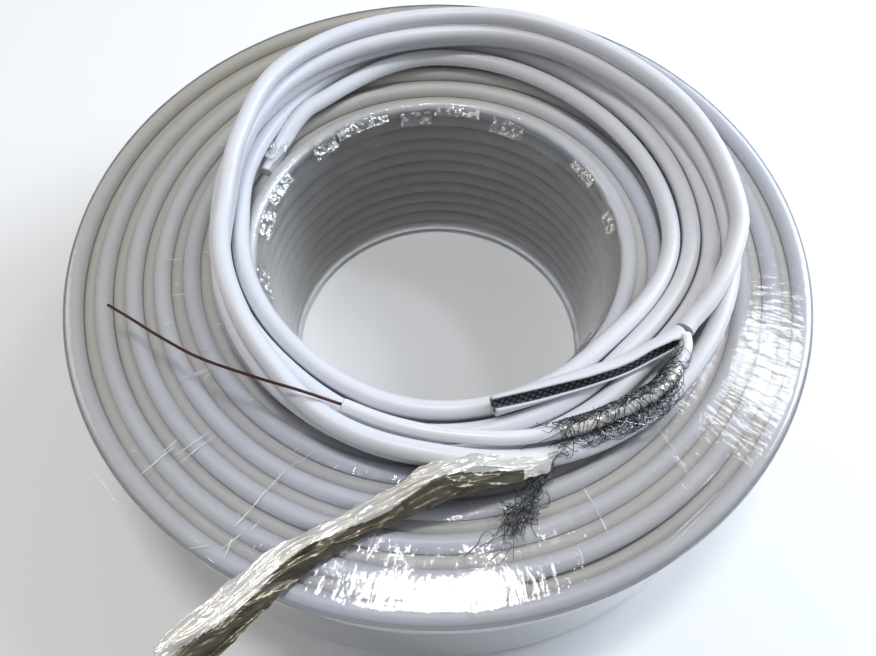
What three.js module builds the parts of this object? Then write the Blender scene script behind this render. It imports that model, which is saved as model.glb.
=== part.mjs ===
// Coil of white coaxial cable in clear stretch film, with loose turns lying on top.
// The free end is stripped, so the jacket, braid, foil, dielectric and wire all show.
// Millimetres, +Z up. The origin is the middle of the wound coil's underside.

import {
  BufferAttribute,
  CatmullRomCurve3,
  Curve,
  ExtrudeGeometry,
  Group,
  LatheGeometry,
  Mesh,
  MeshStandardMaterial,
  Path,
  Shape,
  Vector2,
  Vector3,
} from "three";

// Driving dimensions of the wound coil
const coil_outer_radius = 142.5;
const coil_height = 84;
const bore_radius_top = 71;
const bore_radius_bottom = 67;
const layers_across = 13;
const high_crest_half_width = 1.7;
const low_crest_half_width = 1.2;
const low_turn_drop = 3.3;
const groove_depth = 4.4;
const lathe_segments = 48;
const corner_steps = 4;

// Driving dimensions of the cable and its layers
const cable_diameter = 6.8;
const jacket_wall = 0.75;
const dielectric_diameter = 4.7;
const foil_wrap_wall = 0.35;
const wire_diameter = 1.02;
const cable_sides = 8;
const wire_sides = 8;

// Driving dimensions of the film and the torn foil tape
const film_thickness = 0.3;
const film_hem_height = 3.0;
const foil_tape_thickness = 0.9;
const foil_tape_arch = 2.4;

// Clearance between pieces that lie against each other
const seat_gap = 0.3;

// Heights and radii that follow from the driving dimensions
const cable_radius = cable_diameter / 2;
const film_top = coil_height + seat_gap + film_thickness;
const rest_height = film_top + seat_gap + cable_radius;

// Loose turns, each row: angle in degrees, radius, and lift of the cable above its resting height.
// The angle runs clockwise from where the cable leaves the coil to where its jacket is slit.
const loose_route = [
  [130, 86.0, 0],
  [90, 97.5, 0],
  [45, 92.5, 0],
  [0, 89.5, 0],
  [-45, 76.5, 0],
  [-90, 75.5, 0],
  [-135, 72.0, 0],
  [-180, 76.0, 0],
  [-202, 83.0, 0],
  [-225, 91.0, 0],
  [-270, 106.5, 0],
  [-315, 102.5, 0],
  [-360, 97.3, 0],
  [-405, 83.9, 0],
  [-450, 84.0, 0],
  [-495, 79.2, 0],
  [-540, 84.6, 0],
  [-562, 89.0, 4.5],
  [-585, 92.4, 7.0],
  [-630, 102.0, 6.1],
  [-652, 105.5, 7.0],
  [-675, 107.2, 5.4],
  [-697, 107.0, 2.4],
  [-720, 104.6, 0],
  [-765, 91.2, 0],
  [-810, 91.2, 0],
  [-832, 88.6, 1.1],
  [-855, 85.6, 4.1],
  [-877, 82.4, 7.1],
  [-900, 80.5, 6.2],
  [-922, 84.0, 10.5],
  [-945, 89.8, 13.9],
  [-990, 98.0, 12.0],
  [-1012, 101.5, 12.9],
  [-1035, 103.8, 11.8],
  [-1057, 108.0, 9.3],
  [-1080, 110.0, 4.9],
  [-1125, 103.8, 0.1],
  [-1147, 99.5, 2.5],
  [-1163, 95.4, 5.9],
  [-1170, 93.4, 6.9],
  [-1192, 89.4, 8.0],
  [-1215, 82.6, 10.8],
  [-1237, 79.8, 14.1],
  [-1260, 79.2, 13.2],
  [-1282, 82.8, 17.5],
  [-1305, 91.4, 20.8],
  [-1350, 102.8, 17.3],
  [-1372, 105.2, 18.9],
  [-1395, 107.0, 18.1],
  [-1417, 110.5, 16.0],
  [-1440, 111.4, 12.0],
  [-1451, 107.0, 10.7],
  [-1462, 101.5, 8.3],
  [-1470, 97.5, 7.0],
];
const loose_step_degrees = 20;

// A straight step cuts inside its arc by this share of the radius, half way along it on average
const mean_chord = (1 + Math.cos((loose_step_degrees * Math.PI) / 360)) / 2;

// Routes of the stripped end, each row: angle in degrees, radius, lift above the film
const jacket_route = [
  [-31.2, 96.9, 10.6],
  [-36.0, 93.4, 10.9],
  [-44.3, 88.1, 10.5],
  [-52.8, 83.4, 10.8],
  [-60.0, 80.5, 10.6],
  [-67.5, 79.0, 10.4],
  [-77.0, 79.0, 10.4],
];
const dielectric_route = [
  [-31.3, 98.1, 11.3],
  [-34.0, 100.4, 11.2],
  [-39.0, 101.2, 10.7],
  [-45.0, 101.0, 10.6],
  [-51.3, 98.7, 10.7],
  [-59.0, 96.2, 11.0],
  [-63.0, 95.0, 11.2],
  [-70.0, 93.0, 11.6],
  [-77.0, 90.8, 11.9],
  [-85.0, 88.2, 12.1],
  [-93.0, 86.2, 12.0],
  [-102.0, 84.4, 11.9],
  [-111.5, 82.9, 11.3],
];
const foil_wrap_from = 0.16;
const foil_wrap_to = 0.46;
const wire_route = [
  [-112.0, 82.9, 11.6],
  [-120.2, 87.2, 19.4],
  [-128.9, 91.6, 20.0],
  [-140.6, 99.8, 18.0],
  [-149.5, 106.9, 15.0],
  [-156.7, 114.6, 12.5],
  [-161.4, 121.6, 11.0],
];

// The torn foil tape, each row: angle, radius, lift above the film, width of the tape there
const foil_tape_route = [
  [-70.0, 102.2, 13.6, 4],
  [-75.5, 100.6, 15.6, 5],
  [-80.5, 99.4, 16.8, 7],
  [-86.0, 99.8, 16.9, 9],
  [-91.0, 102.4, 14.4, 10],
  [-95.0, 106.0, 10.2, 10],
  [-98.5, 110.0, 6.6, 10],
  [-103.0, 116.0, 4.4, 10],
  [-107.0, 124.0, 4.0, 11],
  [-110.5, 133.4, 4.0, 13],
  [-113.2, 147.3, 4.2, 14],
  [-114.7, 157.3, 4.0, 15],
  [-116.1, 164.8, 3.0, 15],
  [-116.9, 171.5, 1.5, 14],
];

// The clump of unpicked braid, each row: angle, radius, lift above the film, half width there
const braid_route = [
  [-39.5, 105.2, 10.3, 1.2],
  [-42.5, 108.0, 9.9, 1.8],
  [-47.0, 108.5, 9.6, 2.8],
  [-53.0, 107.8, 8.8, 2.6],
  [-58.0, 107.4, 7.8, 2.5],
  [-64.0, 106.6, 6.6, 2.4],
  [-68.5, 106.4, 4.6, 2.4],
  [-72.5, 108.0, 3.4, 2.4],
  [-77.2, 114.0, 1.9, 1.8],
  [-80.2, 120.7, 1.35, 1.3],
  [-81.4, 125.4, 0.95, 0.8],
];

// A point from its angle about the bore's axis, its radius and its height
function polar(angle, radius, height) {
  const turn = (angle * Math.PI) / 180;
  return new Vector3(radius * Math.cos(turn), radius * Math.sin(turn), height);
}

// Slope through a row that never overshoots its neighbours
function settled_slope(before, after) {
  return before * after > 0 ? (2 * before * after) / (before + after) : 0;
}

// Radius and lift of the loose cable at any angle of its route
function read_route(rows, angle) {
  const last = rows.length - 1;
  let at = 0;
  while (at < last - 1 && angle < rows[at + 1][0]) {
    at += 1;
  }
  const span = (row) => rows[row + 1][0] - rows[row][0];
  const secant = (row, item) => (rows[row + 1][item] - rows[row][item]) / span(row);
  const slope = (row, item) => {
    const inside = row > 0 && row < last;
    return inside ? settled_slope(secant(row - 1, item), secant(row, item)) : 0;
  };
  const s = (angle - rows[at][0]) / span(at);
  return [1, 2].map((item) => {
    const from = rows[at][item] * (2 * s ** 3 - 3 * s ** 2 + 1);
    const to = rows[at + 1][item] * (3 * s ** 2 - 2 * s ** 3);
    const leaving = slope(at, item) * (s ** 3 - 2 * s ** 2 + s);
    const arriving = slope(at + 1, item) * (s ** 3 - s ** 2);
    return from + to + (leaving + arriving) * span(at);
  });
}

// The loose cable's centre line, stepped by equal angles so that neighbouring turns stay parallel
class LooseTurns extends Curve {
  getPoint(share) {
    const first = loose_route[0][0];
    const end = loose_route[loose_route.length - 1][0];
    const angle = first + (end - first) * share;
    const [radius, lift] = read_route(loose_route, angle);
    return polar(angle, radius / mean_chord, rest_height + lift);
  }

  getPointAt(share) {
    return this.getPoint(share);
  }

  getTangentAt(share) {
    return this.getTangent(share);
  }
}

// A smooth line through rows of angle, radius and lift
function smooth_line(rows) {
  return new CatmullRomCurve3(rows.map(([angle, radius, lift]) => polar(angle, radius, film_top + lift)));
}

// A many-sided round outline, with its first corner turned by half a side
function round_outline(outline, radius, sides) {
  for (let side = 0; side <= sides; side += 1) {
    const turn = ((side + 0.5) / sides) * 2 * Math.PI;
    const move = side === 0 ? "moveTo" : "lineTo";
    outline[move](radius * Math.cos(turn), radius * Math.sin(turn));
  }
  return outline;
}

// A solid cord of one diameter along a line
function cord(line, diameter, sides, steps) {
  const section = round_outline(new Shape(), diameter / 2, sides);
  return new ExtrudeGeometry(section, { steps, curveSegments: 1, extrudePath: line });
}

// Bends a straight extrusion along a line, keeping its own Y side up. The section may grow or shrink.
function bend(geometry, line, length, size_at) {
  const place = geometry.getAttribute("position");
  const up = new Vector3(0, 0, 1);
  for (let corner = 0; corner < place.count; corner += 1) {
    const share = Math.min(Math.max(place.getZ(corner) / length, 0), 1);
    const along = line.getTangentAt(share);
    const across = new Vector3().crossVectors(up, along).normalize();
    const over = new Vector3().crossVectors(along, across);
    const [wide, high] = size_at(share);
    const point = line.getPointAt(share);
    point.addScaledVector(across, place.getX(corner) * wide);
    point.addScaledVector(over, place.getY(corner) * high);
    place.setXYZ(corner, point.x, point.y, point.z);
  }
  geometry.computeVertexNormals();
  return geometry;
}

// A straight extrusion of a section, cut into even steps
function straight(section, length, steps) {
  return new ExtrudeGeometry(section, { steps, depth: length, bevelEnabled: false, curveSegments: 1 });
}

// One value of a route's rows, read by share of the route
function read_rows(rows, item, share) {
  const reach = share * (rows.length - 1);
  const at = Math.min(Math.floor(reach), rows.length - 2);
  const rest = reach - at;
  return rows[at][item] * (1 - rest) + rows[at + 1][item] * rest;
}

// Radii of the turns that show on one end of the coil, from the outside in
function layer_radii(bore_radius) {
  const outermost = coil_outer_radius - cable_radius;
  const innermost = bore_radius + cable_radius;
  const pitch = (outermost - innermost) / (layers_across - 1);
  return Array.from({ length: layers_across }, (_, layer) => outermost - layer * pitch);
}

// Quarter of a turn's round section, from one angle to another
function corner_arc(centre_radius, centre_height, from, to) {
  const points = [];
  for (let step = 0; step < corner_steps; step += 1) {
    const turn = from + ((to - from) * step) / corner_steps;
    const radius = centre_radius + cable_radius * Math.cos(turn);
    points.push(new Vector2(radius, centre_height + cable_radius * Math.sin(turn)));
  }
  return points;
}

// One end face: every second turn lies low between its neighbours, with a groove on both its sides
function end_face(bore_radius, height, inwards) {
  const radii = layer_radii(bore_radius);
  const last = layers_across - 1;
  const points = [];
  radii.forEach((radius, layer) => {
    const low = layer % 2 === 1;
    const level = low ? height - low_turn_drop * inwards : height;
    const half_width = low ? low_crest_half_width : high_crest_half_width;
    points.push(new Vector2(radius + (layer === 0 ? 0 : half_width), level));
    points.push(new Vector2(radius - (layer === last ? 0 : half_width), level));
    if (layer < last) {
      const lean = ((high_crest_half_width - low_crest_half_width) / 2) * (low ? -1 : 1);
      const middle = (radius + radii[layer + 1]) / 2 - lean;
      points.push(new Vector2(middle, height - groove_depth * inwards));
    }
  });
  return points;
}

// The wound coil as one ring: outer wall, top turns, bore wall, bottom turns
function wound_coil() {
  const outer_centre = coil_outer_radius - cable_radius;
  const top_centre = coil_height - cable_radius;
  const quarter = Math.PI / 2;
  const profile = [
    ...corner_arc(outer_centre, cable_radius, -quarter, 0),
    ...corner_arc(outer_centre, top_centre, 0, quarter),
    ...end_face(bore_radius_top, coil_height, 1),
    ...corner_arc(bore_radius_top + cable_radius, top_centre, quarter, 2 * quarter),
    ...corner_arc(bore_radius_bottom + cable_radius, cable_radius, 2 * quarter, 3 * quarter),
    ...end_face(bore_radius_bottom, 0, -1).reverse(),
  ];
  return turned(profile);
}

// Turns a closed profile about the bore's axis
function turned(profile) {
  const clean = profile.filter((point, at) => {
    const next = profile[(at + 1) % profile.length];
    return point.distanceTo(next) > 0.01;
  });
  const geometry = new LatheGeometry([...clean, clean[0]], lathe_segments);
  geometry.rotateX(Math.PI / 2);
  return geometry;
}

// Film over the outer wall, the top and the bore wall, open underneath
function stretch_film() {
  const skin = (stand_off) => {
    const outer = coil_outer_radius + stand_off;
    const inner = bore_radius_top - stand_off;
    const top = coil_height + stand_off;
    return [
      new Vector2(outer, film_hem_height),
      new Vector2(outer, top - cable_radius),
      new Vector2(outer - 0.3 * cable_radius, top - 0.3 * cable_radius),
      new Vector2(outer - cable_radius, top),
      new Vector2(inner + cable_radius, top),
      new Vector2(inner + 0.3 * cable_radius, top - 0.3 * cable_radius),
      new Vector2(inner, top - cable_radius),
      new Vector2(bore_radius_bottom - stand_off, film_hem_height),
    ];
  };
  return turned([...skin(seat_gap + film_thickness), ...skin(seat_gap).reverse()]);
}

// The jacket after its slit: half a pipe, open on its outer and upper side
function slit_jacket() {
  const line = smooth_line(jacket_route);
  const steps = 14;
  const arc_steps = 8;
  const wall_from = 0.85 * Math.PI;
  const wall_to = 1.7 * Math.PI;
  const section = new Shape();
  for (let side = 0; side <= arc_steps; side += 1) {
    const turn = wall_from + ((wall_to - wall_from) * side) / arc_steps;
    const move = side === 0 ? "moveTo" : "lineTo";
    section[move](cable_radius * Math.cos(turn), cable_radius * Math.sin(turn));
  }
  const inside = cable_radius - jacket_wall;
  for (let side = arc_steps; side >= 0; side -= 1) {
    const turn = wall_from + ((wall_to - wall_from) * side) / arc_steps;
    section.lineTo(inside * Math.cos(turn), inside * Math.sin(turn));
  }
  section.closePath();
  const length = line.getLength();
  return bend(straight(section, length, steps), line, length, () => [1, 1]);
}

// The foil wrapped round the dielectric, a thin sleeve on part of the bared core
function foil_wrap() {
  const core = smooth_line(dielectric_route);
  const points = [];
  const steps = 12;
  for (let step = 0; step <= steps; step += 1) {
    points.push(core.getPointAt(foil_wrap_from + ((foil_wrap_to - foil_wrap_from) * step) / steps));
  }
  const line = new CatmullRomCurve3(points);
  const inside = dielectric_diameter / 2 + seat_gap + 0.1;
  const section = round_outline(new Shape(), inside + foil_wrap_wall, cable_sides);
  section.holes.push(round_outline(new Path(), inside, cable_sides));
  const length = line.getLength();
  return bend(straight(section, length, steps), line, length, () => [1, 1]);
}

// The torn tape of foil: an arched strip that widens towards its end
function foil_tape() {
  const line = smooth_line(foil_tape_route);
  const half = 0.5;
  const section = new Shape();
  section.moveTo(-half, -foil_tape_arch);
  section.lineTo(-half * 0.7, -foil_tape_arch * 0.3);
  section.lineTo(0, 0);
  section.lineTo(half * 0.7, -foil_tape_arch * 0.3);
  section.lineTo(half, -foil_tape_arch);
  section.lineTo(half * 0.8, -foil_tape_arch - foil_tape_thickness * 0.3);
  section.lineTo(half * 0.55, -foil_tape_arch * 0.3 - foil_tape_thickness);
  section.lineTo(0, -foil_tape_thickness);
  section.lineTo(-half * 0.55, -foil_tape_arch * 0.3 - foil_tape_thickness);
  section.lineTo(-half * 0.8, -foil_tape_arch - foil_tape_thickness * 0.3);
  section.closePath();
  const length = line.getLength();
  const size_at = (share) => [read_rows(foil_tape_route, 3, share), 1];
  return bend(straight(section, length, 30), line, length, size_at);
}

// The clump of unpicked braid wires, thick beside the core and thin where it frays out
function braid_clump() {
  const line = smooth_line(braid_route);
  const section = round_outline(new Shape(), 1, cable_sides);
  const length = line.getLength();
  const size_at = (share) => {
    const half_width = read_rows(braid_route, 3, share);
    return [half_width, half_width * 0.8];
  };
  return bend(straight(section, length, 22), line, length, size_at);
}

const jacket_white = new MeshStandardMaterial({ color: 0xe6e6ea, roughness: 0.45, metalness: 0 });
const film_clear = new MeshStandardMaterial({
  color: 0xf2f4f6,
  roughness: 0.12,
  metalness: 0,
  transparent: true,
  opacity: 0.2,
});
const dielectric_white = new MeshStandardMaterial({ color: 0xf4f4f6, roughness: 0.5, metalness: 0 });
const foil_silver = new MeshStandardMaterial({ color: 0xd4d2c8, roughness: 0.25, metalness: 1 });
const braid_silver = new MeshStandardMaterial({ color: 0x9a9892, roughness: 0.35, metalness: 1 });
const copper_brown = new MeshStandardMaterial({ color: 0x3a2320, roughness: 0.4, metalness: 1 });

// Adds one named piece, with its corner positions kept as 32-bit numbers
function add_piece(group, name, geometry, material) {
  const place = geometry.getAttribute("position");
  geometry.setAttribute("position", new BufferAttribute(new Float32Array(place.array), 3));
  const mesh = new Mesh(geometry, material);
  mesh.name = name;
  group.add(mesh);
}

const loose_span = loose_route[0][0] - loose_route[loose_route.length - 1][0];
const loose_steps = Math.round(loose_span / loose_step_degrees);
const loose_cable = cord(new LooseTurns(), cable_diameter, cable_sides, loose_steps);
const bared_core = cord(smooth_line(dielectric_route), dielectric_diameter, cable_sides, 16);
const bared_wire = cord(smooth_line(wire_route), wire_diameter, wire_sides, 14);

const coaxial_coil = new Group();
add_piece(coaxial_coil, "wound_coil", wound_coil(), jacket_white);
add_piece(coaxial_coil, "stretch_film", stretch_film(), film_clear);
add_piece(coaxial_coil, "loose_turns", loose_cable, jacket_white);
add_piece(coaxial_coil, "slit_jacket", slit_jacket(), jacket_white);
add_piece(coaxial_coil, "dielectric", bared_core, dielectric_white);
add_piece(coaxial_coil, "foil_wrap", foil_wrap(), foil_silver);
add_piece(coaxial_coil, "braid_clump", braid_clump(), braid_silver);
add_piece(coaxial_coil, "foil_tape", foil_tape(), foil_silver);
add_piece(coaxial_coil, "centre_conductor", bared_wire, copper_brown);

export default coaxial_coil;
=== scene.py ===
# %% [markdown]
# # A coil of white coaxial cable
#
# This lesson dresses a wound coil of white coaxial cable. It is wrapped in clear stretch film,
# a few loose turns lie on top of it, and the loose end is stripped so that every layer shows:
# jacket, braid, foil, dielectric and wire. The solids come from the CAD model. Each cell makes
# one thing, says what it made, and leaves it ready for the next cell.

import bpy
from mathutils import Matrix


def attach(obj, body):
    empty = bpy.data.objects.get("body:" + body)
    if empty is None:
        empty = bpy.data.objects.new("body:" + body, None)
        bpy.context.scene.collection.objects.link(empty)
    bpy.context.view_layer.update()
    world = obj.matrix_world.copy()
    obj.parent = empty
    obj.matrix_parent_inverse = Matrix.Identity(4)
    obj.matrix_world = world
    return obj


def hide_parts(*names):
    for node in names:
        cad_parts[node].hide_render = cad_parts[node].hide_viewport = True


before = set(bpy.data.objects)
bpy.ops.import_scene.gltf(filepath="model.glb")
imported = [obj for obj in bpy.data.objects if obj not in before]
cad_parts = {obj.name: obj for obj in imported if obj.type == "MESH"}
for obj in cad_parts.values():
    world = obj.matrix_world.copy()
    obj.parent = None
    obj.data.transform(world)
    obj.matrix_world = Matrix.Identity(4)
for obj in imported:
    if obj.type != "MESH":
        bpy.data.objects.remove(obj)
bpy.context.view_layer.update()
print("CAD nodes:", sorted(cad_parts))

# %% Tools that the later cells use
import math
import random

import bmesh
import bpy
import numpy as np
from mathutils import Vector, noise

MM = 0.001
scene = bpy.context.scene
print("Blender", bpy.app.version_string)

# %% [markdown]
# ## The camera
#
# The view is from the front, 60 degrees down on the coil, close enough that the near turns look
# clearly larger than the far ones. A plain camera with one focal length does this. The camera
# comes first, because a free cord is judged by what the camera sees of it.

# %% Camera
camera_data = bpy.data.cameras.new("coil_view")
camera_data.sensor_width = 36.0
camera_data.lens = 36.0 * 720 / 876
camera_data.clip_start = 0.01
camera_data.clip_end = 20.0
camera = bpy.data.objects.new("coil_view", camera_data)
camera.location = (0.0, -0.1715, 0.3093)
camera.rotation_euler = (math.radians(30), 0.0, 0.0)
scene.collection.objects.link(camera)
scene.camera = camera
print("camera lens in mm:", round(camera_data.lens, 2))

# %% [markdown]
# ## Sizes of the cable and the coil
#
# A drop cable of this kind is 6.8 mm thick over its jacket. Everything else on the coil follows
# from that: the turns nest in each other's valleys, so the layers stand closer than one diameter.

# %% Sizes in metres
cable_diameter = 6.8 * MM
cable_radius = cable_diameter / 2
coil_outer_radius = 142.5 * MM
coil_height = 84.0 * MM
bore_radius_top = 71.0 * MM
bore_radius_bottom = 67.0 * MM
layers_across = 13
turns_high = 12
wound_diameter = 6.5 * MM
film_top = coil_height + 0.6 * MM
rest_height = film_top + 0.3 * MM + cable_radius
core_diameter = 4.7 * MM
centre_wire_diameter = 1.02 * MM
braid_wire_diameter = 0.22 * MM
film_thickness = 0.05 * MM
foil_thickness = 0.12 * MM
layer_pitch_top = (coil_outer_radius - bore_radius_top - cable_diameter) / (layers_across - 1)
layer_pitch_bottom = (coil_outer_radius - bore_radius_bottom - cable_diameter) / (layers_across - 1)
print("layer pitch in mm:", round(layer_pitch_top / MM, 2))

# %% Helpers for points and routes
def polar(angle, radius, height):
    """A point from its angle in degrees, its radius and its height."""
    turn = math.radians(angle)
    return Vector((radius * math.cos(turn), radius * math.sin(turn), height))


def settled_slope(before, after):
    """A slope through a row that never overshoots its neighbours."""
    return 2 * before * after / (before + after) if before * after > 0 else 0.0


def read_route(rows, angle):
    """Radius and lift, in metres, at any angle of a route that runs clockwise."""
    last = len(rows) - 1
    at = 0
    while at < last - 1 and angle < rows[at + 1][0]:
        at += 1
    span = lambda row: rows[row + 1][0] - rows[row][0]
    secant = lambda row, item: (rows[row + 1][item] - rows[row][item]) / span(row)
    inside = lambda row: 0 < row < last
    slope = lambda row, item: settled_slope(secant(row - 1, item), secant(row, item)) if inside(row) else 0.0
    s = (angle - rows[at][0]) / span(at)
    found = []
    for item in (1, 2):
        value = rows[at][item] * (2 * s**3 - 3 * s**2 + 1) + rows[at + 1][item] * (3 * s**2 - 2 * s**3)
        value += (slope(at, item) * (s**3 - 2 * s**2 + s) + slope(at + 1, item) * (s**3 - s**2)) * span(at)
        found.append(value * MM)
    return found


def smooth_points(rows, per_span=12):
    """A smooth line through rows of angle, radius and lift above the film."""
    base = [polar(row[0], row[1] * MM, film_top + row[2] * MM) for row in rows]
    first, last = 2 * base[0] - base[1], 2 * base[-1] - base[-2]
    padded = [first, *base, last]
    points = []
    for k in range(len(base) - 1):
        p0, p1, p2, p3 = padded[k : k + 4]
        for step in range(per_span):
            t = step / per_span
            bend, twist = 2 * p0 - 5 * p1 + 4 * p2 - p3, 3 * p1 - p0 - 3 * p2 + p3
            points.append(0.5 * (2 * p1 + (p2 - p0) * t + bend * t * t + twist * t**3))
    return points + [base[-1]]


def even_points(points, count):
    """The same line, cut into even steps."""
    places = np.array([list(p) for p in points])
    reach = np.concatenate([[0], np.cumsum(np.linalg.norm(np.diff(places, axis=0), axis=1))])
    asked = np.linspace(0, reach[-1], count)
    return [Vector([np.interp(r, reach, places[:, axis]) for axis in range(3)]) for r in asked], reach[-1]


def frames_along(points):
    """At each point: the way along, the way across (outwards) and the way over (up)."""
    found = []
    for k, point in enumerate(points):
        along = (points[min(k + 1, len(points) - 1)] - points[max(k - 1, 0)]).normalized()
        across = Vector((0, 0, 1)).cross(along).normalized()
        found.append((point, along, across, along.cross(across)))
    return found


def frame_between(frames, length, at):
    """The point and its three ways at a row number that may lie between two rows."""
    point, along, across, over = frames[int(at)]
    return point + along * ((at - int(at)) * length / (len(frames) - 1)), along, across, over


def way_round(across, over, turn):
    """The way out from a line's middle at a turn around it, from across (0) to over (a quarter)."""
    return across * math.cos(turn) + over * math.sin(turn)


print("helpers ready")

# %% Helpers for meshes
def mesh_piece(name, places, faces, material=None, smooth=True):
    """A new mesh object at the origin, with its faces turned outwards where it is closed."""
    mesh = bpy.data.meshes.new(name)
    mesh.from_pydata([tuple(p) for p in places], [], faces)
    mesh.update()
    if smooth:
        mesh.polygons.foreach_set("use_smooth", [True] * len(mesh.polygons))
    piece = bpy.data.objects.new(name, mesh)
    scene.collection.objects.link(piece)
    if material:
        mesh.materials.append(material)
    return piece


def face_outwards(piece):
    """Turns a closed mesh's faces outwards."""
    cleaner = bmesh.new()
    cleaner.from_mesh(piece.data)
    bmesh.ops.recalc_face_normals(cleaner, faces=cleaner.faces)
    if cleaner.calc_volume(signed=True) < 0:
        bmesh.ops.reverse_faces(cleaner, faces=cleaner.faces)
    cleaner.to_mesh(piece.data)
    cleaner.free()


def skin_sections(sections, close_ends=True):
    """Faces between rings of points, with a fan at each end."""
    places, faces = [], []
    around = len(sections[0])
    for section in sections:
        places.extend(section)
    for ring in range(len(sections) - 1):
        for k in range(around):
            a, b = ring * around + k, ring * around + (k + 1) % around
            faces.append((a, b, b + around, a + around))
    if close_ends:
        faces.append(tuple(reversed(range(around))))
        faces.append(tuple(range((len(sections) - 1) * around, len(sections) * around)))
    return places, faces


def triangles(piece):
    return sum(len(face.vertices) - 2 for face in piece.data.polygons)


def slab_faces(rows, columns, start=0):
    """Faces of a sheet with two sides, and the side, row and column of each. Front points come first."""
    wide, half = columns + 1, (rows + 1) * (columns + 1)
    faces, owners = [], []
    for row in range(rows):
        for column in range(columns):
            a = start + row * wide + column
            faces.append((a, a + 1, a + 1 + wide, a + wide))
            faces.append((a + half, a + half + wide, a + half + wide + 1, a + half + 1))
            owners.extend([("front", row, column), ("back", row, column)])
        for column in (0, columns):
            a = start + row * wide + column
            faces.append((a, a + wide, a + wide + half, a + half))
            owners.append(("edge", row, column))
    for row in (0, rows):
        for column in range(columns):
            a = start + row * wide + column
            faces.append((a, a + 1, a + 1 + half, a + half))
            owners.append(("edge", row, column))
    return faces, owners


print("mesh helpers ready")

# %% Helpers for node trees
def add_node(nodes, kind, values=None, **settings):
    """A new node with its settings, and then the constants on its input sockets."""
    node = nodes.new(kind)
    for name, value in settings.items():
        setattr(node, name, value)
    for socket, value in (values or {}).items():
        node.inputs[socket].default_value = value
    return node


def connect(links, *joints):
    """Joins nodes. Each joint names a node, its output, the next node and its input."""
    for giver, output, taker, socket in joints:
        links.new(giver.outputs[output], taker.inputs[socket])


print("node helpers ready")

# %% [markdown]
# ## A sweep built from nodes
#
# Wound turns, braid wires and creases are all thin round things that follow a path. One Geometry
# Nodes tree can sweep them all: the paths come in as plain edges, and the diameter and the number
# of sides are inputs. Repeating it by nodes keeps each section the same and easy to change.

# %% Build the sweep tree
def build_sweep_tree():
    tree = bpy.data.node_groups.new("round_sweep", "GeometryNodeTree")
    tree.interface.new_socket("Paths", in_out="INPUT", socket_type="NodeSocketGeometry")
    tree.interface.new_socket("Diameter", in_out="INPUT", socket_type="NodeSocketFloat")
    tree.interface.new_socket("Sides", in_out="INPUT", socket_type="NodeSocketInt")
    tree.interface.new_socket("Finish", in_out="INPUT", socket_type="NodeSocketMaterial")
    tree.interface.new_socket("Swept", in_out="OUTPUT", socket_type="NodeSocketGeometry")
    nodes, links = tree.nodes, tree.links
    asked = nodes.new("NodeGroupInput")
    given = nodes.new("NodeGroupOutput")
    to_curve = nodes.new("GeometryNodeMeshToCurve")
    half = add_node(nodes, "ShaderNodeMath", {1: 0.5}, operation="MULTIPLY")
    thick = add_node(nodes, "GeometryNodeInputNamedAttribute", {"Name": "thick"}, data_type="FLOAT")
    section = nodes.new("GeometryNodeCurvePrimitiveCircle")
    sized = nodes.new("GeometryNodeSetCurveRadius")
    sweep = add_node(nodes, "GeometryNodeCurveToMesh", {"Fill Caps": True})
    smooth = nodes.new("GeometryNodeSetShadeSmooth")
    real = nodes.new("GeometryNodeRealizeInstances")
    finish = nodes.new("GeometryNodeSetMaterial")
    connect(
        links,
        (asked, "Paths", to_curve, "Mesh"), (to_curve, "Curve", sized, "Curve"),
        (thick, "Attribute", sized, "Radius"), (asked, "Diameter", half, 0),
        (half, 0, section, "Radius"), (asked, "Sides", section, "Resolution"),
        (sized, "Curve", sweep, "Curve"), (section, "Curve", sweep, "Profile Curve"),
    )
    if "Scale" in sweep.inputs:
        connect(links, (thick, "Attribute", sweep, "Scale"))
    connect(
        links,
        (sweep, "Mesh", smooth, "Geometry"), (smooth, "Geometry", real, "Geometry"),
        (real, "Geometry", finish, "Geometry"), (asked, "Finish", finish, "Material"),
        (finish, "Geometry", given, "Swept"),
    )
    return tree


sweep_tree = build_sweep_tree()
print("sweep tree nodes:", len(sweep_tree.nodes))


# %% Sweep paths into a plain mesh
def sweep_paths(name, paths, diameter, sides, material, closed=False, tones=None, thick=None):
    """Sweeps a round section along each path. tones gives a value per path, thick one per point."""
    places, edges, tone, width = [], [], [], []
    for at, path in enumerate(paths):
        start = len(places)
        places.extend([tuple(p) for p in path])
        edges.extend((start + k, start + k + 1) for k in range(len(path) - 1))
        if closed:
            edges.append((len(places) - 1, start))
        tone.extend([tones[at] if tones else 0.0] * len(path))
        width.extend(thick[at] if thick else [1.0] * len(path))
    mesh = bpy.data.meshes.new(name)
    mesh.from_pydata(places, edges, [])
    mesh.attributes.new("tone", "FLOAT", "POINT").data.foreach_set("value", tone)
    mesh.attributes.new("thick", "FLOAT", "POINT").data.foreach_set("value", width)
    piece = bpy.data.objects.new(name, mesh)
    scene.collection.objects.link(piece)
    modifier = piece.modifiers.new("sweep", "NODES")
    modifier.node_group = sweep_tree
    ids = {s.name: s.identifier for s in sweep_tree.interface.items_tree if s.in_out == "INPUT"}
    modifier[ids["Diameter"]] = diameter
    modifier[ids["Sides"]] = sides
    modifier[ids["Finish"]] = material
    made = bpy.data.meshes.new_from_object(piece.evaluated_get(bpy.context.evaluated_depsgraph_get()))
    piece.modifiers.clear()
    piece.data = made
    bpy.data.meshes.remove(mesh)
    face_outwards(piece)
    print(f"{name}: {len(paths)} paths, {triangles(piece)} triangles")
    return piece


print("sweeping is ready")

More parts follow.
